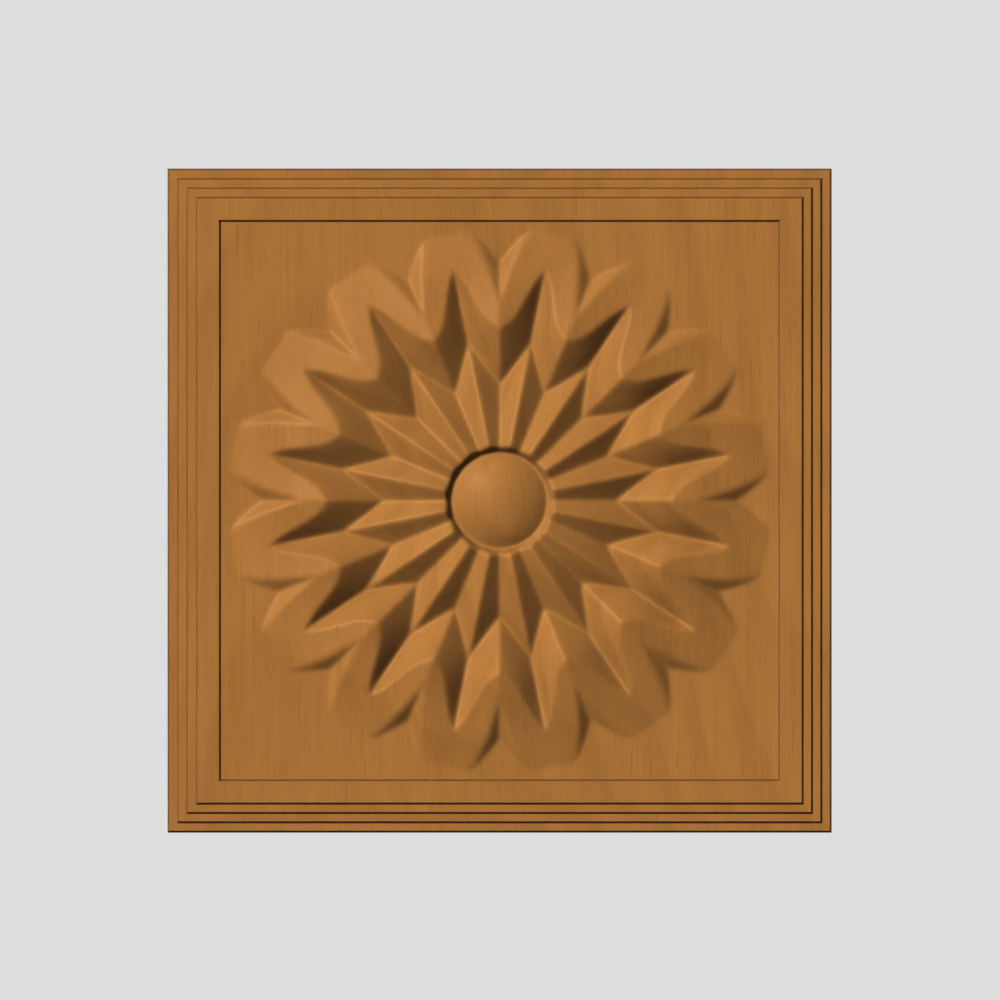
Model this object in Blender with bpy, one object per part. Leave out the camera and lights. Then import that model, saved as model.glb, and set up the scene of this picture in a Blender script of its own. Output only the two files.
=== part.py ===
"""Carved wooden corner block: stepped ledges round a sunken square field that holds a rosette.

The rosette has a dome in a ring groove, a star of sixteen ridged rays, and sixteen blunt petals, each
scooped out by a pointed hollow and parted from the next by a bevelled notch. All of it is cut from one
board, so the block is one closed solid.

Metres, +Z up. The block is modelled lying face up and then stood upright: the centre of its flat back
is at the origin, the back lies in the plane y = 0, and the carved face looks along -Y. Heights of the
carving are measured from the sunken field.
"""
import math

import bmesh
import bpy
from mathutils import Matrix

MM = 0.001

# Block
BLOCK_SIDE = 90 * MM
BLOCK_THICKNESS = 12 * MM
RELIEF = 3.4 * MM
FIELD_HEIGHT = BLOCK_THICKNESS - RELIEF

# Frame round the field: ledges that step up to a flat band, each behind a steep wall
LEDGE_COUNT = 3
LEDGE_WIDTH = BLOCK_SIDE / 71
BAND_WIDTH = 2.5 * LEDGE_WIDTH
STEP_RISE = RELIEF / (LEDGE_COUNT + 1)
WALL_RUN = 0.25 * MM

# Rosette layout
PETAL_COUNT = 16
HALF_PETAL = math.pi / PETAL_COUNT

# Dome: the cap of an ellipsoid a little lower than the rays, and the groove at its rim
DOME_CROWN = RELIEF - 0.15 * MM
DOME_SPREAD = 7.75 * MM
GROOVE_RADIUS = 6.72 * MM
GROOVE_HEIGHT = 1.06 * MM
GROOVE_WALL_SLOPE = 5.0

# Rays: ridges that leave the groove level and fall in an arc to their points
RAY_TOP_RADIUS = 4.24 * MM
RAY_TOP_HEIGHT = 3.48 * MM
RAY_TIP_RADIUS = 22.0 * MM
RAY_TIP_HEIGHT = -0.53 * MM
RAY_SIDE_SLOPE = 0.73

# Petals: backs that slope down to a straight end, steeper towards their sides
PETAL_END = 36.8 * MM
PETAL_SLOPE = 0.195
PETAL_SIDE_STEEPENING = 0.00134 / MM**2

# Hollows: pointed scoops along the petal axes. The floor line is level at one radius and rises or
# falls away from it in arcs, outwards to the petal's back and inwards to the ray's tip. The flanks
# are rounded, and steeper outwards than inwards.
HOLLOW_FLOOR = -0.235 * MM
HOLLOW_LEVEL_RADIUS = 25.7 * MM
HOLLOW_TIP_RADIUS = 31.9 * MM
FLANK_SLOPE_INNER = 0.77
FLANK_SLOPE_OUTER = 1.2
FLANK_ROUND_INNER = 0.0246 / MM
FLANK_ROUND_OUTER = 0.0756 / MM
FLANK_TURN_RADIUS = 18.6 * MM
FLANK_TURN_LENGTH = 8.2 * MM
FLANK_EASE_RADIUS = 27.9 * MM
FLANK_EASE = 0.0576 / MM

# Bevels that part the petals: each runs from a notch to a corner of the petal's end, and its foot
# bulges a little from that line
NOTCH_RADIUS = 32.1 * MM
CORNER_OFFSET = 3.24 * MM
BEVEL_SLOPE = 0.82
BEVEL_BULGE = 0.14 * MM
CORNER_ANGLE = math.atan2(CORNER_OFFSET, PETAL_END)

# Mesh density
CAP_ROWS = 4
RAY_ROWS = 3
HOLLOW_ROWS = 4
PETAL_ROWS = 2
END_COLUMNS = 3
SIDE_COLUMNS = 3
WELD_DISTANCE = 0.001 * MM

# Search for the carved edges
BISECTIONS = 50
ANGLE_TOLERANCE = 1e-6

WOOD_COLOUR = (0.38, 0.16, 0.04, 1.0)


def dome_height(radius):
    """Height of the dome, whose ellipsoid passes through the groove."""
    rim = 1 - math.sqrt(1 - (GROOVE_RADIUS / DOME_SPREAD) ** 2)
    fall = 1 - math.sqrt(1 - (radius / DOME_SPREAD) ** 2)
    return DOME_CROWN - (DOME_CROWN - GROOVE_HEIGHT) * fall / rim


def groove_wall_height(along, across):
    """Height of the steep cone that rises from the groove to the rays."""
    return GROOVE_HEIGHT + (math.hypot(along, across) - GROOVE_RADIUS) * GROOVE_WALL_SLOPE


def ray_height(along, across):
    """Height of a ray's sides; along and across are measured from its ridge line."""
    reach = (along - RAY_TOP_RADIUS) / (RAY_TIP_RADIUS - RAY_TOP_RADIUS)
    ridge = RAY_TOP_HEIGHT - (RAY_TOP_HEIGHT - RAY_TIP_HEIGHT) * reach**2
    return ridge - RAY_SIDE_SLOPE * across


def petal_height(along, across):
    """Height of a petal's back."""
    return (PETAL_END - along) * (PETAL_SLOPE + PETAL_SIDE_STEEPENING * across**2)


def hollow_floor(along):
    """Height of a hollow's floor line."""
    if along < HOLLOW_LEVEL_RADIUS:
        end_radius, end_height = RAY_TIP_RADIUS, RAY_TIP_HEIGHT
    else:
        end_radius, end_height = HOLLOW_TIP_RADIUS, petal_height(HOLLOW_TIP_RADIUS, 0)
    reach = (along - HOLLOW_LEVEL_RADIUS) / (end_radius - HOLLOW_LEVEL_RADIUS)
    return HOLLOW_FLOOR + (end_height - HOLLOW_FLOOR) * reach**2


def hollow_height(along, across):
    """Height of the flanks of a petal's hollow."""
    turn = min(1.0, max(0.0, (along - FLANK_TURN_RADIUS) / FLANK_TURN_LENGTH))
    turn = turn * turn * (3 - 2 * turn)
    slope = FLANK_SLOPE_INNER + (FLANK_SLOPE_OUTER - FLANK_SLOPE_INNER) * turn
    slope -= FLANK_EASE * max(0.0, along - FLANK_EASE_RADIUS)
    rounding = FLANK_ROUND_INNER + (FLANK_ROUND_OUTER - FLANK_ROUND_INNER) * turn
    return hollow_floor(along) + slope * across - rounding * across**2


def bevel_height(along, across):
    """Height of the bulged plane that bevels a petal's side."""
    notch_along = NOTCH_RADIUS * math.cos(HALF_PETAL)
    notch_across = NOTCH_RADIUS * math.sin(HALF_PETAL)
    run_along = PETAL_END - notch_along
    run_across = CORNER_OFFSET - notch_across
    length = math.hypot(run_along, run_across)
    from_notch_along = along - notch_along
    from_notch_across = across - notch_across
    inside = (from_notch_along * run_across - from_notch_across * run_along) / length
    share = (from_notch_along * run_along + from_notch_across * run_across) / length**2
    return BEVEL_SLOPE * (inside + 4 * BEVEL_BULGE * share * (1 - share))


def back_height(along, across):
    """Height of a petal's back with its bevelled side."""
    return min(petal_height(along, across), bevel_height(along, across))


def field_height(along, across):
    """Height of the sunken field, which is the level that the others are measured from."""
    return 0.0


def crossing(first, second, angle, inner, outer):
    """Radius between inner and outer where two surfaces meet, at an angle off the petal's axis."""
    def gap(radius):
        along = radius * math.cos(angle)
        across = radius * math.sin(angle)
        return first(along, across) - second(along, across)

    rises = gap(outer) > gap(inner)
    for _ in range(BISECTIONS):
        middle = (inner + outer) / 2
        if (gap(middle) > 0) == rises:
            outer = middle
        else:
            inner = middle
    return (inner + outer) / 2


def stations(angle):
    """Radii of the carved edges at an angle off a petal's axis, from the groove to the outline."""
    side_of_petal = angle > CORNER_ANGLE + ANGLE_TOLERANCE
    outline = PETAL_END / math.cos(angle)
    if side_of_petal:
        outline = crossing(bevel_height, field_height, angle, 0.9 * NOTCH_RADIUS, outline)
    groove_edge = crossing(groove_wall_height, ray_height, angle, GROOVE_RADIUS, 1.3 * GROOVE_RADIUS)
    ray_foot = crossing(ray_height, hollow_height, angle, 2 * GROOVE_RADIUS, HOLLOW_LEVEL_RADIUS)
    crest = crossing(hollow_height, petal_height, angle, ray_foot, outline)
    bevel_top = outline
    if side_of_petal:
        bevel_top = crossing(petal_height, bevel_height, angle, crest, outline)
    return groove_edge, ray_foot, crest, bevel_top, outline


def column(angle):
    """Points (radius, height) down the rosette's surface at an angle off a petal's axis."""
    groove_edge, ray_foot, crest, bevel_top, outline = stations(angle)
    points = []
    for row in range(CAP_ROWS + 1):
        radius = GROOVE_RADIUS * math.sin(math.pi / 2 * row / CAP_ROWS)
        points.append((radius, dome_height(radius)))
    spans = (
        (groove_wall_height, GROOVE_RADIUS, groove_edge, 1),
        (ray_height, groove_edge, ray_foot, RAY_ROWS),
        (hollow_height, ray_foot, crest, HOLLOW_ROWS),
        (petal_height, crest, bevel_top, PETAL_ROWS),
        (back_height, bevel_top, outline, 1),
    )
    for surface, inner, outer, rows in spans:
        for row in range(1, rows + 1):
            radius = inner + (outer - inner) * row / rows
            height = surface(radius * math.cos(angle), radius * math.sin(angle))
            points.append((radius, height))
    return points


def half_petal_angles():
    """Angles of the columns over half a petal, with one at the corner of its end."""
    angles = [CORNER_ANGLE * step / END_COLUMNS for step in range(END_COLUMNS + 1)]
    for step in range(1, SIDE_COLUMNS + 1):
        angles.append(CORNER_ANGLE + (HALF_PETAL - CORNER_ANGLE) * step / SIDE_COLUMNS)
    return angles


def rosette_columns():
    """Direction and points of every column, once round the rosette."""
    half = [(angle, column(angle)) for angle in half_petal_angles()]
    one_petal = [(-angle, points) for angle, points in reversed(half)]
    one_petal += half[1:-1]
    columns = []
    for petal in range(PETAL_COUNT):
        axis = (2 * petal + 1) * HALF_PETAL
        columns += [(axis + angle, points) for angle, points in one_petal]
    return columns


def add_rosette(bm):
    """Add the rosette's surface and return the edges of its outline."""
    grid = []
    for direction, points in rosette_columns():
        x, y = math.cos(direction), math.sin(direction)
        grid.append([bm.verts.new((r * x, r * y, FIELD_HEIGHT + h)) for r, h in points])
    for here, following in zip(grid, grid[1:] + grid[:1]):
        for row in range(len(here) - 1):
            bm.faces.new((here[row], here[row + 1], following[row + 1], following[row]))
    outline = []
    for here, following in zip(grid, grid[1:] + grid[:1]):
        outline.append(bm.edges.get((here[-1], following[-1])))
    return outline


def add_stepped_block(bm):
    """Add the block with its ledges, band and sunken field; return the edges round the open field."""
    size = Matrix.Diagonal((BLOCK_SIDE, BLOCK_SIDE, FIELD_HEIGHT, 1))
    lift = Matrix.Translation((0, 0, FIELD_HEIGHT / 2))
    bmesh.ops.create_cube(bm, size=1, matrix=lift @ size)
    bm.normal_update()
    face = next(f for f in bm.faces if f.normal.z > 0.9)

    def inset(width, rise):
        bmesh.ops.inset_region(bm, faces=[face], thickness=width, depth=rise, use_even_offset=True)

    for _ in range(LEDGE_COUNT):
        inset(WALL_RUN, STEP_RISE)
        inset(LEDGE_WIDTH - WALL_RUN, 0)
    inset(WALL_RUN, STEP_RISE)
    inset(BAND_WIDTH - WALL_RUN, 0)
    inset(WALL_RUN, -RELIEF)
    edges = list(face.edges)
    bmesh.ops.delete(bm, geom=[face], context="FACES_ONLY")
    return edges


def wood_material():
    material = bpy.data.materials.new("wood")
    material.use_nodes = True
    shader = material.node_tree.nodes["Principled BSDF"]
    shader.inputs["Base Color"].default_value = WOOD_COLOUR
    shader.inputs["Roughness"].default_value = 0.55
    shader.inputs["Metallic"].default_value = 0.0
    return material


def rosette_block(collection):
    """The one piece of the object, stood upright with its back on the plane y = 0."""
    bm = bmesh.new()
    field_edges = add_stepped_block(bm)
    field_edges += add_rosette(bm)
    bmesh.ops.triangle_fill(bm, use_beauty=True, edges=field_edges, normal=(0, 0, 1))
    bmesh.ops.remove_doubles(bm, verts=bm.verts, dist=WELD_DISTANCE)
    bmesh.ops.recalc_face_normals(bm, faces=bm.faces)
    mesh = bpy.data.meshes.new("rosette_block")
    bm.to_mesh(mesh)
    bm.free()
    mesh.shade_smooth()
    mesh.set_sharp_from_angle(angle=math.radians(20))
    block = bpy.data.objects.new("rosette_block", mesh)
    block.rotation_euler = (math.pi / 2, 0, 0)
    block.data.materials.append(wood_material())
    collection.objects.link(block)
    return block


def main():
    for obj in list(bpy.data.objects):
        bpy.data.objects.remove(obj)
    collection = bpy.data.collections.new("carved_corner_applique")
    bpy.context.scene.collection.children.link(collection)
    rosette_block(collection)


main()
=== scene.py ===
"""Looks of the carved wooden corner block: its finely carved surface, its wood, and a plain studio.

Metres, +Z up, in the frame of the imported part. The block's flat back lies in the plane y = 0 and its
carved face looks along -Y. The carving is worked out lying face up, in x and y of the face with
heights measured from the sunken field, and is then stood upright.
"""

import math

import bmesh
import bpy
import numpy as np
from mathutils import Matrix, Vector


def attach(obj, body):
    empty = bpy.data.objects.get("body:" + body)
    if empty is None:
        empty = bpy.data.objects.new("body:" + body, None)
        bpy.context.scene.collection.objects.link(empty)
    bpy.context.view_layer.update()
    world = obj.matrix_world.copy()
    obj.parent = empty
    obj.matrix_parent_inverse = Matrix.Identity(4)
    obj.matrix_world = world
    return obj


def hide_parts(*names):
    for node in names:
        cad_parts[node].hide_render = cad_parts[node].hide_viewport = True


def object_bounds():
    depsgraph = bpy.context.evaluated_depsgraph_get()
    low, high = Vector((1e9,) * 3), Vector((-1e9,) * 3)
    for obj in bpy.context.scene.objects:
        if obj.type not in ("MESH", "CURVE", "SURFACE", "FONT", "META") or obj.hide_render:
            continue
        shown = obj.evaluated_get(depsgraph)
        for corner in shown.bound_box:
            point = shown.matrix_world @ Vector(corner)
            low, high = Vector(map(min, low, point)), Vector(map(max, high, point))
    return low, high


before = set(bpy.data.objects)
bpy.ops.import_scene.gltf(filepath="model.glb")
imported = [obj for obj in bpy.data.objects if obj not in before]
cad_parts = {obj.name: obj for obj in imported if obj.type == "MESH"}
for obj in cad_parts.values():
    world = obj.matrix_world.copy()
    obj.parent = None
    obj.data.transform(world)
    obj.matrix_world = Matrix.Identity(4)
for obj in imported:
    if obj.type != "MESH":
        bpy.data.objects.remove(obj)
cad_low, cad_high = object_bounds()

MM = 0.001

# Block
BLOCK_SIDE = cad_high.x - cad_low.x
BLOCK_THICKNESS = cad_high.y - cad_low.y
RELIEF = 3.4 * MM
FIELD_HEIGHT = BLOCK_THICKNESS - RELIEF

# Frame round the field
LEDGE_COUNT = 3
LEDGE_WIDTH = BLOCK_SIDE / 71
BAND_WIDTH = 2.5 * LEDGE_WIDTH
FIELD_HALF_SIDE = BLOCK_SIDE / 2 - LEDGE_COUNT * LEDGE_WIDTH - BAND_WIDTH
STEP_RISE = RELIEF / (LEDGE_COUNT + 1)
WALL_RUN = 0.25 * MM
FRAME_ARRIS = 0.035 * MM
ARRIS_SEGMENTS = 2
ARRIS_PROFILE = 0.5

# Rosette layout
PETAL_COUNT = 16
HALF_PETAL = math.pi / PETAL_COUNT

# Dome and the groove at its rim
DOME_CROWN = RELIEF - 0.15 * MM
DOME_SPREAD = 7.75 * MM
GROOVE_RADIUS = 6.72 * MM
GROOVE_HEIGHT = 1.06 * MM
GROOVE_WALL_SLOPE = 5.0

# Rays
RAY_TOP_RADIUS = 4.24 * MM
RAY_TOP_HEIGHT = 3.48 * MM
RAY_TIP_RADIUS = 22.0 * MM
RAY_TIP_HEIGHT = -0.53 * MM
RAY_SIDE_SLOPE = 0.73

# Petals
PETAL_END = 36.8 * MM
PETAL_SLOPE = 0.195
PETAL_SIDE_STEEPENING = 0.00134 / MM**2

# Hollows along the petal axes
HOLLOW_FLOOR = -0.235 * MM
HOLLOW_LEVEL_RADIUS = 25.7 * MM
HOLLOW_TIP_RADIUS = 31.9 * MM
FLANK_SLOPE_INNER = 0.77
FLANK_SLOPE_OUTER = 1.2
FLANK_ROUND_INNER = 0.0246 / MM
FLANK_ROUND_OUTER = 0.0756 / MM
FLANK_TURN_RADIUS = 18.6 * MM
FLANK_TURN_LENGTH = 8.2 * MM
FLANK_EASE_RADIUS = 27.9 * MM
FLANK_EASE = 0.0576 / MM

# Bevels that part the petals
NOTCH_RADIUS = 32.1 * MM
CORNER_OFFSET = 3.24 * MM
BEVEL_SLOPE = 0.82
BEVEL_BULGE = 0.14 * MM
CORNER_ANGLE = math.atan2(CORNER_OFFSET, PETAL_END)

# Softening of the carved arrises, and the spot of points that it is averaged over
ARRIS_SOFTNESS = 0.29 * MM
SPOT_POINTS = 400
GOLDEN_ANGLE = math.pi * (3 - math.sqrt(5))

# Mesh density of the rosette
CAP_ROWS = 16
WALL_ROWS = 5
RAY_ROWS = 26
HOLLOW_ROWS = 30
PETAL_ROWS = 34
SKIRT_ROWS = 5
SKIRT_WIDTH = 0.9 * MM
HALF_PETAL_COLUMNS = 16
CROWDING = 0.55

# Search for the carved edges along a direction
FOOT_SEARCH_START = 0.9 * NOTCH_RADIUS
GROOVE_EDGE_SEARCH_END = 1.3 * GROOVE_RADIUS
RAY_FOOT_SEARCH_START = 2 * GROOVE_RADIUS
BISECTIONS = 50
ANGLE_TOLERANCE = 1e-6

# Joining the rosette to the frame: points this close are one, and a face looks up past this normal
WELD_DISTANCE = 0.001 * MM
UPWARD = 0.9


# Heights of the carved surfaces, with sharp arrises. Along is measured from the centre along the
# axis of the nearest petal, and across is the distance from that axis.
def dome_height(radius):
    rim = 1 - math.sqrt(1 - (GROOVE_RADIUS / DOME_SPREAD) ** 2)
    fall = 1 - np.sqrt(np.maximum(0, 1 - (radius / DOME_SPREAD) ** 2))
    return DOME_CROWN - (DOME_CROWN - GROOVE_HEIGHT) * fall / rim


def groove_wall_height(along, across):
    return GROOVE_HEIGHT + (np.hypot(along, across) - GROOVE_RADIUS) * GROOVE_WALL_SLOPE


def ray_height(along, across):
    reach = (along - RAY_TOP_RADIUS) / (RAY_TIP_RADIUS - RAY_TOP_RADIUS)
    ridge = RAY_TOP_HEIGHT - (RAY_TOP_HEIGHT - RAY_TIP_HEIGHT) * reach**2
    return ridge - RAY_SIDE_SLOPE * across


def petal_height(along, across):
    return (PETAL_END - along) * (PETAL_SLOPE + PETAL_SIDE_STEEPENING * across**2)


def hollow_floor(along):
    tip_height = petal_height(HOLLOW_TIP_RADIUS, 0)
    inward = (along - HOLLOW_LEVEL_RADIUS) / (RAY_TIP_RADIUS - HOLLOW_LEVEL_RADIUS)
    outward = (along - HOLLOW_LEVEL_RADIUS) / (HOLLOW_TIP_RADIUS - HOLLOW_LEVEL_RADIUS)
    fall = (RAY_TIP_HEIGHT - HOLLOW_FLOOR) * inward**2
    rise = (tip_height - HOLLOW_FLOOR) * outward**2
    return HOLLOW_FLOOR + np.where(along < HOLLOW_LEVEL_RADIUS, fall, rise)


def hollow_height(along, across):
    turn = np.clip((along - FLANK_TURN_RADIUS) / FLANK_TURN_LENGTH, 0, 1)
    turn = turn * turn * (3 - 2 * turn)
    slope = FLANK_SLOPE_INNER + (FLANK_SLOPE_OUTER - FLANK_SLOPE_INNER) * turn
    slope = slope - FLANK_EASE * np.maximum(0, along - FLANK_EASE_RADIUS)
    rounding = FLANK_ROUND_INNER + (FLANK_ROUND_OUTER - FLANK_ROUND_INNER) * turn
    return hollow_floor(along) + slope * across - rounding * across**2


def bevel_height(along, across):
    notch_along = NOTCH_RADIUS * math.cos(HALF_PETAL)
    notch_across = NOTCH_RADIUS * math.sin(HALF_PETAL)
    run_along = PETAL_END - notch_along
    run_across = CORNER_OFFSET - notch_across
    length = math.hypot(run_along, run_across)
    from_notch_along = along - notch_along
    from_notch_across = across - notch_across
    inside = (from_notch_along * run_across - from_notch_across * run_along) / length
    share = (from_notch_along * run_along + from_notch_across * run_across) / length**2
    return BEVEL_SLOPE * (inside + 4 * BEVEL_BULGE * share * (1 - share))


def field_height(along, across):
    return np.zeros_like(along)


def rosette_height(x, y):
    """Height of the rosette with sharp arrises at points of the face."""
    radius = np.hypot(x, y)
    off_axis = np.mod(np.arctan2(y, x), 2 * HALF_PETAL) - HALF_PETAL
    along = radius * np.cos(off_axis)
    across = radius * np.abs(np.sin(off_axis))
    back = np.minimum(petal_height(along, across), bevel_height(along, across))
    petals = np.minimum(hollow_height(along, across), np.maximum(back, 0))
    carving = np.maximum(ray_height(along, across), petals)
    carving = np.minimum(carving, groove_wall_height(along, across))
    return np.where(radius < GROOVE_RADIUS, dome_height(radius), carving)


def soft_height(x, y):
    """Height with the arrises softened: the sharp height averaged over a bell-shaped spot."""
    share = (np.arange(SPOT_POINTS) + 0.5) / SPOT_POINTS
    reach = ARRIS_SOFTNESS * np.sqrt(-2 * np.log(1 - share))
    turn = np.arange(SPOT_POINTS) * GOLDEN_ANGLE
    total = np.zeros_like(x)
    for dx, dy in zip(reach * np.cos(turn), reach * np.sin(turn)):
        total += rosette_height(x + dx, y + dy)
    return total / SPOT_POINTS


def crossing(first, second, angles, inner, outer):
    """Radii between inner and outer where two surfaces meet, at angles off the petal's axis."""
    inner = np.zeros_like(angles) + inner
    outer = np.zeros_like(angles) + outer

    def gap(radius):
        along = radius * np.cos(angles)
        across = radius * np.sin(angles)
        return first(along, across) - second(along, across)

    rises = gap(outer) > gap(inner)
    for _ in range(BISECTIONS):
        middle = (inner + outer) / 2
        beyond = (gap(middle) > 0) == rises
        outer = np.where(beyond, middle, outer)
        inner = np.where(beyond, inner, middle)
    return (inner + outer) / 2


def crowded(count):
    """Shares from 0 to 1 that lie closer together towards both ends."""
    share = np.linspace(0, 1, count + 1)
    return share - CROWDING * np.sin(2 * math.pi * share) / (2 * math.pi)


def row_radii(angles):
    """Radii of all rows at angles off the petal's axis; rows lie along the carved edges."""
    end = PETAL_END / np.cos(angles)
    foot = crossing(bevel_height, field_height, angles, FOOT_SEARCH_START, end)
    outline = np.where(angles > CORNER_ANGLE + ANGLE_TOLERANCE, foot, end)
    groove = np.full_like(angles, GROOVE_RADIUS)
    groove_edge = crossing(groove_wall_height, ray_height, angles, groove, GROOVE_EDGE_SEARCH_END)
    ray_foot = crossing(ray_height, hollow_height, angles, RAY_FOOT_SEARCH_START, HOLLOW_LEVEL_RADIUS)
    crest = crossing(hollow_height, petal_height, angles, ray_foot, outline)
    quarter = np.sin(math.pi / 2 * np.arange(CAP_ROWS + 1) / CAP_ROWS)
    rows = [share * groove for share in quarter]
    spans = (
        (groove, groove_edge, WALL_ROWS),
        (groove_edge, ray_foot, RAY_ROWS),
        (ray_foot, crest, HOLLOW_ROWS),
        (crest, outline, PETAL_ROWS),
        (outline, outline + SKIRT_WIDTH, SKIRT_ROWS),
    )
    for inner, outer, count in spans:
        rows += [inner + (outer - inner) * share for share in crowded(count)[1:]]
    return np.array(rows)


def rosette_grid():
    """Points of the rosette, one list of points from the centre outwards for each direction."""
    half_angles = HALF_PETAL * crowded(HALF_PETAL_COLUMNS)
    radii = row_radii(half_angles)
    directions = HALF_PETAL + half_angles
    heights = soft_height(radii * np.cos(directions), radii * np.sin(directions))
    heights[0] = heights[0].mean()
    heights[-1] = 0
    last = HALF_PETAL_COLUMNS
    order = list(range(last, 0, -1)) + list(range(last))
    signs = [-1] * last + [1] * last
    grid = []
    for petal in range(PETAL_COUNT):
        axis = (2 * petal + 1) * HALF_PETAL
        for column, sign in zip(order, signs):
            direction = axis + sign * half_angles[column]
            x = radii[:, column] * math.cos(direction)
            y = radii[:, column] * math.sin(direction)
            grid.append(np.stack([x, y, FIELD_HEIGHT + heights[:, column]], axis=1))
    return grid


def add_rosette(bm):
    """Add the rosette's surface, smoothly shaded, and return the edges round it."""
    grid = [[bm.verts.new(point) for point in column] for column in rosette_grid()]
    pairs = list(zip(grid, grid[1:] + grid[:1]))
    for here, following in pairs:
        for row in range(len(here) - 1):
            face = bm.faces.new((here[row], here[row + 1], following[row + 1], following[row]))
            face.smooth = True
    return [bm.edges.get((here[-1], following[-1])) for here, following in pairs]


def add_stepped_block(bm):
    """Add the block with softened ledges and band; return the edges round its open field."""
    size = Matrix.Diagonal((BLOCK_SIDE, BLOCK_SIDE, FIELD_HEIGHT, 1))
    lift = Matrix.Translation((0, 0, FIELD_HEIGHT / 2))
    bmesh.ops.create_cube(bm, size=1, matrix=lift @ size)
    bm.normal_update()
    face = next(f for f in bm.faces if f.normal.z > UPWARD)

    def inset(width, rise):
        bmesh.ops.inset_region(bm, faces=[face], thickness=width, depth=rise, use_even_offset=True)

    for _ in range(LEDGE_COUNT):
        inset(WALL_RUN, STEP_RISE)
        inset(LEDGE_WIDTH - WALL_RUN, 0)
    inset(WALL_RUN, STEP_RISE)
    inset(BAND_WIDTH - WALL_RUN, 0)
    inset(WALL_RUN, -RELIEF)
    rounding = {"offset": FRAME_ARRIS, "segments": ARRIS_SEGMENTS, "profile": ARRIS_PROFILE}
    bmesh.ops.bevel(bm, geom=list(bm.edges), affect="EDGES", **rounding)
    bm.normal_update()
    field = max((f for f in bm.faces if f.normal.z > UPWARD), key=lambda f: f.calc_area())
    edges = list(field.edges)
    bmesh.ops.delete(bm, geom=[field], context="FACES_ONLY")
    return edges


def carved_block(material):
    """The whole block as one mesh, stood upright with its carved face towards -Y."""
    bm = bmesh.new()
    field_edges = add_stepped_block(bm)
    field_edges += add_rosette(bm)
    bmesh.ops.triangle_fill(bm, use_beauty=True, edges=field_edges, normal=(0, 0, 1))
    bmesh.ops.remove_doubles(bm, verts=bm.verts, dist=WELD_DISTANCE)
    bmesh.ops.recalc_face_normals(bm, faces=bm.faces)
    for vert in bm.verts:
        vert.co = (vert.co.x, -vert.co.z, vert.co.y)
    mesh = bpy.data.meshes.new("carved_block")
    bm.to_mesh(mesh)
    bm.free()
    mesh.materials.append(material)
    block = bpy.data.objects.new("carved_block", mesh)
    bpy.context.scene.collection.objects.link(block)
    return block


# Wood: its colours, and a satin sheen of the wood's own colour under a trace of varnish
WOOD_BASE = (0.395, 0.187, 0.0516, 1.0)
WOOD_LATE = (0.347, 0.161, 0.0435, 1.0)
WOOD_PORE = (0.224, 0.098, 0.0267, 1.0)
SATIN_TINT = (1.0, 0.469, 0.130, 1.0)
SATIN_LEVEL = 0.385
SATIN_ROUGHNESS = (0.56, 0.64)
VARNISH_WEIGHT = 0.07
VARNISH_ROUGHNESS = 0.38

# Growth rings round a pith behind the block: x and y of the pith, its lean, and how the rings wander
PITH = (-18 * MM, 85 * MM)
PITH_LEAN = 0.10
RING_SPACING = 3.1 * MM
RING_WANDER = 2.2 * RING_SPACING
RING_WAVES = 40.0
RING_WAVES_ALONG = 0.35
LATE_WOOD_START = 0.2
LATE_WOOD_END = 0.86

# Grain: waves per metre across the wood, the share of them along it, how rough the noise is, and
# the part of it that shows
FIBRE_WAVES = 2600.0
FIBRE_ALONG = 0.025
FIBRE_ROUGH = 0.6
FIBRE_SPAN = (0.25, 0.75)
STREAK_WAVES = 420.0
STREAK_ALONG = 0.05
STREAK_ROUGH = 0.55
STREAK_SPAN = (0.3, 0.75)
PORE_WAVES = 3400.0
PORE_ALONG = 0.045
PORE_SPAN = (0.66, 0.74)
CLOUD_WAVES = 28.0
CLOUD_SPAN = (0.3, 0.7)
SMOOTH_DETAIL = 1.0
PLAIN_DETAIL = 2.0
FINE_DETAIL = 3.0
PLAIN_ROUGH = 0.5

# Shares of rings, streaks and pores in the colour, and brightness added by fibres and clouds
RING_SHARE = 0.55
STREAK_SHARE = 0.45
PORE_SHARE = 0.3
FIBRE_TONE = (0.95, 1.05)
CLOUD_TONE = (-0.02, 0.02)

# Bump: raised fibres and sunken pores, and fine ridges left by the carving
FIBRE_RELIEF = 0.4
PORE_DEPTH = 0.6
GRAIN_STRENGTH = 0.5
GRAIN_HEIGHT = 0.02 * MM
RIDGE_SPACING = 0.1 * MM
RIDGE_HEIGHT = 0.004 * MM
RIDGE_WOBBLE = 0.6 * RIDGE_SPACING
RIDGE_WOBBLE_WAVES = 700.0

# Steep walls of the ledges and the band get painted shade, darker than the flats: their brightness, the
# facing between which it comes in, and the half side of the square inside them that stays clear
WALL_PAINTED_SHADE = 0.62
WALL_STEEPNESS = (0.30, 0.55)
CLEAR_HALF_SIDE = FIELD_HALF_SIDE - 2 * WALL_RUN

# Sockets of Blender's colour mix node
MIX_SHARE, MIX_FIRST, MIX_SECOND, MIX_RESULT = 0, 6, 7, 2


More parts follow.
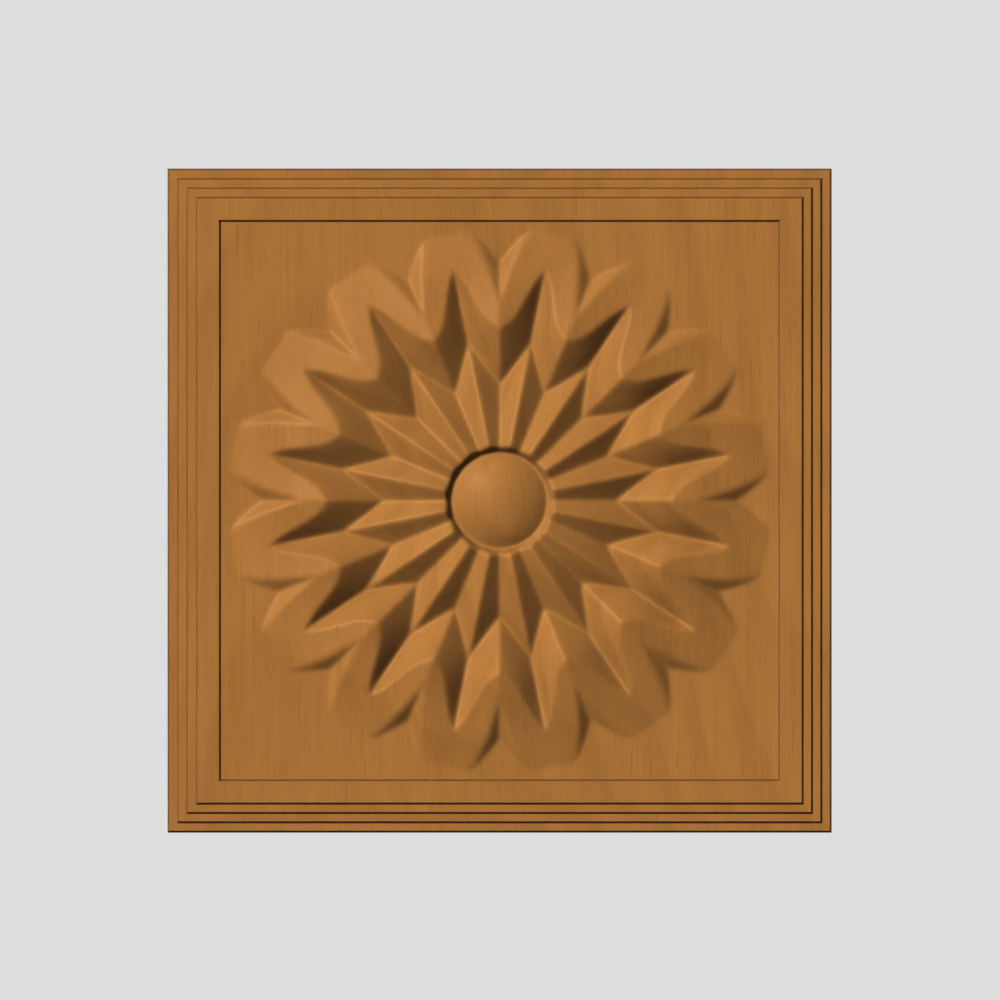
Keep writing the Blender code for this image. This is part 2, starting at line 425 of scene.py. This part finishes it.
class Nodes:
    """A short way to add linked shader nodes to a material."""

    def __init__(self, tree):
        self.tree = tree

    def add(self, kind, inputs=None, **settings):
        node = self.tree.nodes.new(kind)
        for name, value in settings.items():
            setattr(node, name, value)
        for name, value in (inputs or {}).items():
            if isinstance(value, bpy.types.NodeSocket):
                self.tree.links.new(value, node.inputs[name])
            else:
                node.inputs[name].default_value = value
        return node

    def math(self, operation, first, second=0.0):
        return self.add("ShaderNodeMath", {0: first, 1: second}, operation=operation).outputs[0]

    def noise(self, point, waves, detail=PLAIN_DETAIL, roughness=PLAIN_ROUGH):
        inputs = {"Vector": point, "Scale": waves, "Detail": detail, "Roughness": roughness}
        return self.add("ShaderNodeTexNoise", inputs).outputs["Fac"]

    def grain(self, point, waves, along, **character):
        """Noise with fewer waves along the grain, which runs up the block, than across it."""
        inputs = {"Vector": point, "Scale": (1, 1, along)}
        shortened = self.add("ShaderNodeMapping", inputs).outputs["Vector"]
        return self.noise(shortened, waves, **character)

    def axes(self, vector):
        return self.add("ShaderNodeSeparateXYZ", {"Vector": vector}).outputs

    def span(self, value, low, high, to_low=0.0, to_high=1.0):
        limits = {"From Min": low, "From Max": high, "To Min": to_low, "To Max": to_high}
        inputs = {"Value": value, **limits}
        return self.add("ShaderNodeMapRange", inputs, interpolation_type="SMOOTHSTEP").outputs["Result"]

    def mix(self, share, first, second):
        inputs = {MIX_SHARE: share, MIX_FIRST: first, MIX_SECOND: second}
        return self.add("ShaderNodeMix", inputs, data_type="RGBA").outputs[MIX_RESULT]


def growth_rings(nodes, point):
    """Late-wood share: 0 in the early wood, rising to 1 at each ring's end."""
    axes = nodes.axes(point)
    x = nodes.math("SUBTRACT", axes["X"], PITH[0])
    y = nodes.math("SUBTRACT", axes["Y"], PITH[1])
    squares = nodes.math("ADD", nodes.math("MULTIPLY", x, x), nodes.math("MULTIPLY", y, y))
    distance = nodes.math("SQRT", squares)
    leaning = nodes.math("ADD", distance, nodes.math("MULTIPLY", axes["Z"], PITH_LEAN))
    waves = nodes.grain(point, RING_WAVES, RING_WAVES_ALONG, detail=SMOOTH_DETAIL)
    wandering = nodes.math("ADD", leaning, nodes.math("MULTIPLY", waves, RING_WANDER))
    ring = nodes.math("FRACT", nodes.math("DIVIDE", wandering, RING_SPACING))
    late = nodes.span(ring, LATE_WOOD_START, LATE_WOOD_END)
    end = nodes.span(ring, LATE_WOOD_END, 1, 1, 0)
    return nodes.math("MULTIPLY", late, end)


def painted_wall_shade(nodes, point):
    """Painted shade: brightness of the wood, less on the steep walls of the ledges and the band."""
    normal = nodes.add("ShaderNodeNewGeometry").outputs["True Normal"]
    facing = nodes.math("ABSOLUTE", nodes.axes(normal)["Y"])
    flatness = nodes.span(facing, *WALL_STEEPNESS)
    axes = nodes.axes(point)
    plain_side = nodes.math("GREATER_THAN", axes["Y"], -FIELD_HEIGHT)
    sideways = nodes.math("ABSOLUTE", axes["X"])
    upwards = nodes.math("ABSOLUTE", axes["Z"])
    off_centre = nodes.math("MAXIMUM", sideways, upwards)
    inside_walls = nodes.math("LESS_THAN", off_centre, CLEAR_HALF_SIDE)
    clear = nodes.math("MAXIMUM", plain_side, inside_walls)
    unshaded = nodes.math("MAXIMUM", flatness, clear)
    return nodes.span(unshaded, 0, 1, WALL_PAINTED_SHADE, 1)


def wood_colour(nodes, point, fibre, pores):
    """Early wood mixed with late wood along rings and streaks, with darker pores."""
    streaks = nodes.grain(point, STREAK_WAVES, STREAK_ALONG, detail=FINE_DETAIL, roughness=STREAK_ROUGH)
    streaks = nodes.span(streaks, *STREAK_SPAN, 0, STREAK_SHARE)
    rings = nodes.math("MULTIPLY", growth_rings(nodes, point), RING_SHARE)
    colour = nodes.mix(nodes.math("ADD", rings, streaks), WOOD_BASE, WOOD_LATE)
    colour = nodes.mix(nodes.math("MULTIPLY", pores, PORE_SHARE), colour, WOOD_PORE)
    clouds = nodes.span(nodes.noise(point, CLOUD_WAVES), *CLOUD_SPAN, *CLOUD_TONE)
    tone = nodes.math("ADD", nodes.span(fibre, *FIBRE_SPAN, *FIBRE_TONE), clouds)
    # painted shade darkens the steep walls of the ledges and the band
    tone = nodes.math("MULTIPLY", tone, painted_wall_shade(nodes, point))
    hue = nodes.add("ShaderNodeHueSaturation", {"Color": colour, "Value": tone})
    return hue.outputs["Color"]


def carving_ridges(nodes, point):
    """Fine ridges that follow the carving's levels, a little uneven."""
    wobble = nodes.math("MULTIPLY", nodes.noise(point, RIDGE_WOBBLE_WAVES), RIDGE_WOBBLE)
    level = nodes.math("ADD", nodes.axes(point)["Y"], wobble)
    return nodes.math("SINE", nodes.math("MULTIPLY", level, 2 * math.pi / RIDGE_SPACING))


def wood_normal(nodes, point, fibre, pores):
    """The surface's direction with its grain, and over it the ridges of the carving."""
    raised = nodes.math("MULTIPLY", fibre, FIBRE_RELIEF)
    sunken = nodes.math("MULTIPLY", pores, PORE_DEPTH)
    grain = nodes.math("SUBTRACT", raised, sunken)
    grain = {"Height": grain, "Strength": GRAIN_STRENGTH, "Distance": GRAIN_HEIGHT}
    grain = nodes.add("ShaderNodeBump", grain).outputs["Normal"]
    ridges = {"Height": carving_ridges(nodes, point), "Distance": RIDGE_HEIGHT, "Normal": grain}
    return nodes.add("ShaderNodeBump", ridges).outputs["Normal"]


def wood_material():
    """Fine-grained stained wood with its grain upright, cut through by the carving."""
    material = bpy.data.materials.new("stained_wood")
    material.use_nodes = True
    tree = material.node_tree
    nodes = Nodes(tree)
    shader = tree.nodes["Principled BSDF"]
    point = nodes.add("ShaderNodeTexCoord").outputs["Object"]
    fibre = nodes.grain(point, FIBRE_WAVES, FIBRE_ALONG, detail=FINE_DETAIL, roughness=FIBRE_ROUGH)
    pores = nodes.grain(point, PORE_WAVES, PORE_ALONG, detail=SMOOTH_DETAIL)
    pores = nodes.span(pores, *PORE_SPAN)
    roughness = nodes.span(fibre, *FIBRE_SPAN, *SATIN_ROUGHNESS)
    tree.links.new(wood_colour(nodes, point, fibre, pores), shader.inputs["Base Color"])
    tree.links.new(roughness, shader.inputs["Roughness"])
    tree.links.new(wood_normal(nodes, point, fibre, pores), shader.inputs["Normal"])
    shader.inputs["Specular IOR Level"].default_value = SATIN_LEVEL
    shader.inputs["Specular Tint"].default_value = SATIN_TINT
    shader.inputs["Coat Weight"].default_value = VARNISH_WEIGHT
    shader.inputs["Coat Roughness"].default_value = VARNISH_ROUGHNESS
    return material


# Camera: straight on, with the block where the photograph shows it, and the picture's contrast
PHOTO_SIZE_PX = 1000
BLOCK_WIDTH_PX = 664
BLOCK_CENTRE_PX = (499.6, 500.6)
CAMERA_DISTANCE = 0.5
VIEW_GAMMA = 0.85


def place_camera():
    """Add the level camera in front of the block, and set how the picture is shown."""
    metres_per_px = BLOCK_SIDE / BLOCK_WIDTH_PX
    data = bpy.data.cameras.new("camera")
    data.type = "ORTHO"
    data.ortho_scale = PHOTO_SIZE_PX * metres_per_px
    camera = bpy.data.objects.new("camera", data)
    x = (PHOTO_SIZE_PX / 2 - BLOCK_CENTRE_PX[0]) * metres_per_px
    z = (BLOCK_CENTRE_PX[1] - PHOTO_SIZE_PX / 2) * metres_per_px
    camera.location = (x, -CAMERA_DISTANCE, z)
    camera.rotation_euler = (math.pi / 2, 0, 0)
    bpy.context.scene.collection.objects.link(camera)
    bpy.context.scene.camera = camera
    bpy.context.scene.view_settings.view_transform = "Standard"
    bpy.context.scene.view_settings.gamma = VIEW_GAMMA


# Key light: its bearing on the carved face from +X towards +Z, and its elevation off that face
KEY_BEARING = math.radians(140.6)
KEY_ELEVATION = math.radians(49.4)
KEY_STRENGTH = 4.28
KEY_SOFTNESS = math.radians(6)

# Other lights, by the direction that each comes from, and a weak, slightly cool fill
OVERHEAD_FROM = (-0.3, -0.35, 0.9)
OVERHEAD_STRENGTH = 1.9
BACK_RIGHT_FROM = (0.8, 0.5, 0.3)
BACK_RIGHT_STRENGTH = 2.2
BACK_LEFT_FROM = (-0.6, 0.75, 0.2)
BACK_LEFT_STRENGTH = 1.7
SIDE_SOFTNESS = math.radians(30)
FILL_STRENGTH = 0.08
FILL_TINT = (1.0, 1.145, 1.63, 1.0)


def add_sun(name, comes_from, strength, softness):
    data = bpy.data.lights.new(name, "SUN")
    data.energy = strength
    data.angle = softness
    sun = bpy.data.objects.new(name, data)
    sun.rotation_euler = Vector(comes_from).to_track_quat("Z", "Y").to_euler()
    bpy.context.scene.collection.objects.link(sun)
    return sun


def shine_on(sun, piece):
    """Let the sun light one piece alone."""
    alone = bpy.data.collections.new(sun.name + "_target")
    alone.objects.link(piece)
    sun.light_linking.receiver_collection = alone


def add_key(block):
    """The main light, on the block alone, whose carving casts no shadow and throws no light back."""
    over_face = math.cos(KEY_ELEVATION)
    x = over_face * math.cos(KEY_BEARING)
    z = over_face * math.sin(KEY_BEARING)
    key = add_sun("key", (x, -math.sin(KEY_ELEVATION), z), KEY_STRENGTH, KEY_SOFTNESS)
    key.data.use_shadow = False
    shine_on(key, block)
    block.visible_diffuse = False


def add_fill():
    world = bpy.data.worlds.new("studio")
    world.use_nodes = True
    background = world.node_tree.nodes["Background"]
    background.inputs["Color"].default_value = FILL_TINT
    background.inputs["Strength"].default_value = FILL_STRENGTH
    bpy.context.scene.world = world


def light_studio(block, floor):
    """The key light on the block, one light on the floor, two from behind, and an even fill."""
    add_key(block)
    overhead = add_sun("overhead", OVERHEAD_FROM, OVERHEAD_STRENGTH, SIDE_SOFTNESS)
    shine_on(overhead, floor)
    back_right = add_sun("back_right", BACK_RIGHT_FROM, BACK_RIGHT_STRENGTH, SIDE_SOFTNESS)
    back_left = add_sun("back_left", BACK_LEFT_FROM, BACK_LEFT_STRENGTH, SIDE_SOFTNESS)
    for sun in (back_right, back_left):
        sun.visible_glossy = False
    add_fill()


# Stage: a pale floor under the block and a pale surround, neither of which lights the block; the
# floor is a little warmer, which evens out the cool fill light
FLOOR_RADIUS = 1.5
FLOOR_SIDES = 96
FLOOR_COLOUR = (0.76, 0.751, 0.721, 1.0)
FLOOR_ROUGHNESS = 0.9
SURROUND_RADIUS = 3.0
SURROUND_SEGMENTS = 48
SURROUND_COLOUR = (0.76, 0.76, 0.76, 1.0)
BLACK = (0.0, 0.0, 0.0, 1.0)


def plain_material(name, values):
    """A material with plain values on the sockets of its shader."""
    material = bpy.data.materials.new(name)
    material.use_nodes = True
    sockets = material.node_tree.nodes["Principled BSDF"].inputs
    for socket, value in values.items():
        sockets[socket].default_value = value
    return material


def add_floor():
    place = (0, 0, cad_low.z)
    bpy.ops.mesh.primitive_circle_add(
        vertices=FLOOR_SIDES, radius=FLOOR_RADIUS, fill_type="NGON", location=place
    )
    floor = bpy.context.active_object
    floor.name = "floor"
    matt = {"Base Color": FLOOR_COLOUR, "Roughness": FLOOR_ROUGHNESS}
    floor.data.materials.append(plain_material("floor", matt))
    return floor


def add_surround():
    bpy.ops.mesh.primitive_uv_sphere_add(
        segments=SURROUND_SEGMENTS, ring_count=SURROUND_SEGMENTS // 2, radius=SURROUND_RADIUS
    )
    surround = bpy.context.active_object
    surround.name = "surround"
    glow = {"Emission Color": SURROUND_COLOUR, "Emission Strength": 1.0}
    unlit = {"Base Color": BLACK, "Specular IOR Level": 0.0}
    surround.data.materials.append(plain_material("surround", {**unlit, **glow}))
    surround.visible_shadow = False
    return surround


def build_stage():
    """Add the floor and the surround, and return the floor."""
    floor = add_floor()
    for piece in (floor, add_surround()):
        piece.visible_diffuse = False
        piece.visible_glossy = False
    return floor


place_camera()
block = carved_block(wood_material())
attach(block, "root")
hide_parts("rosette_block")
floor = build_stage()
light_studio(block, floor)
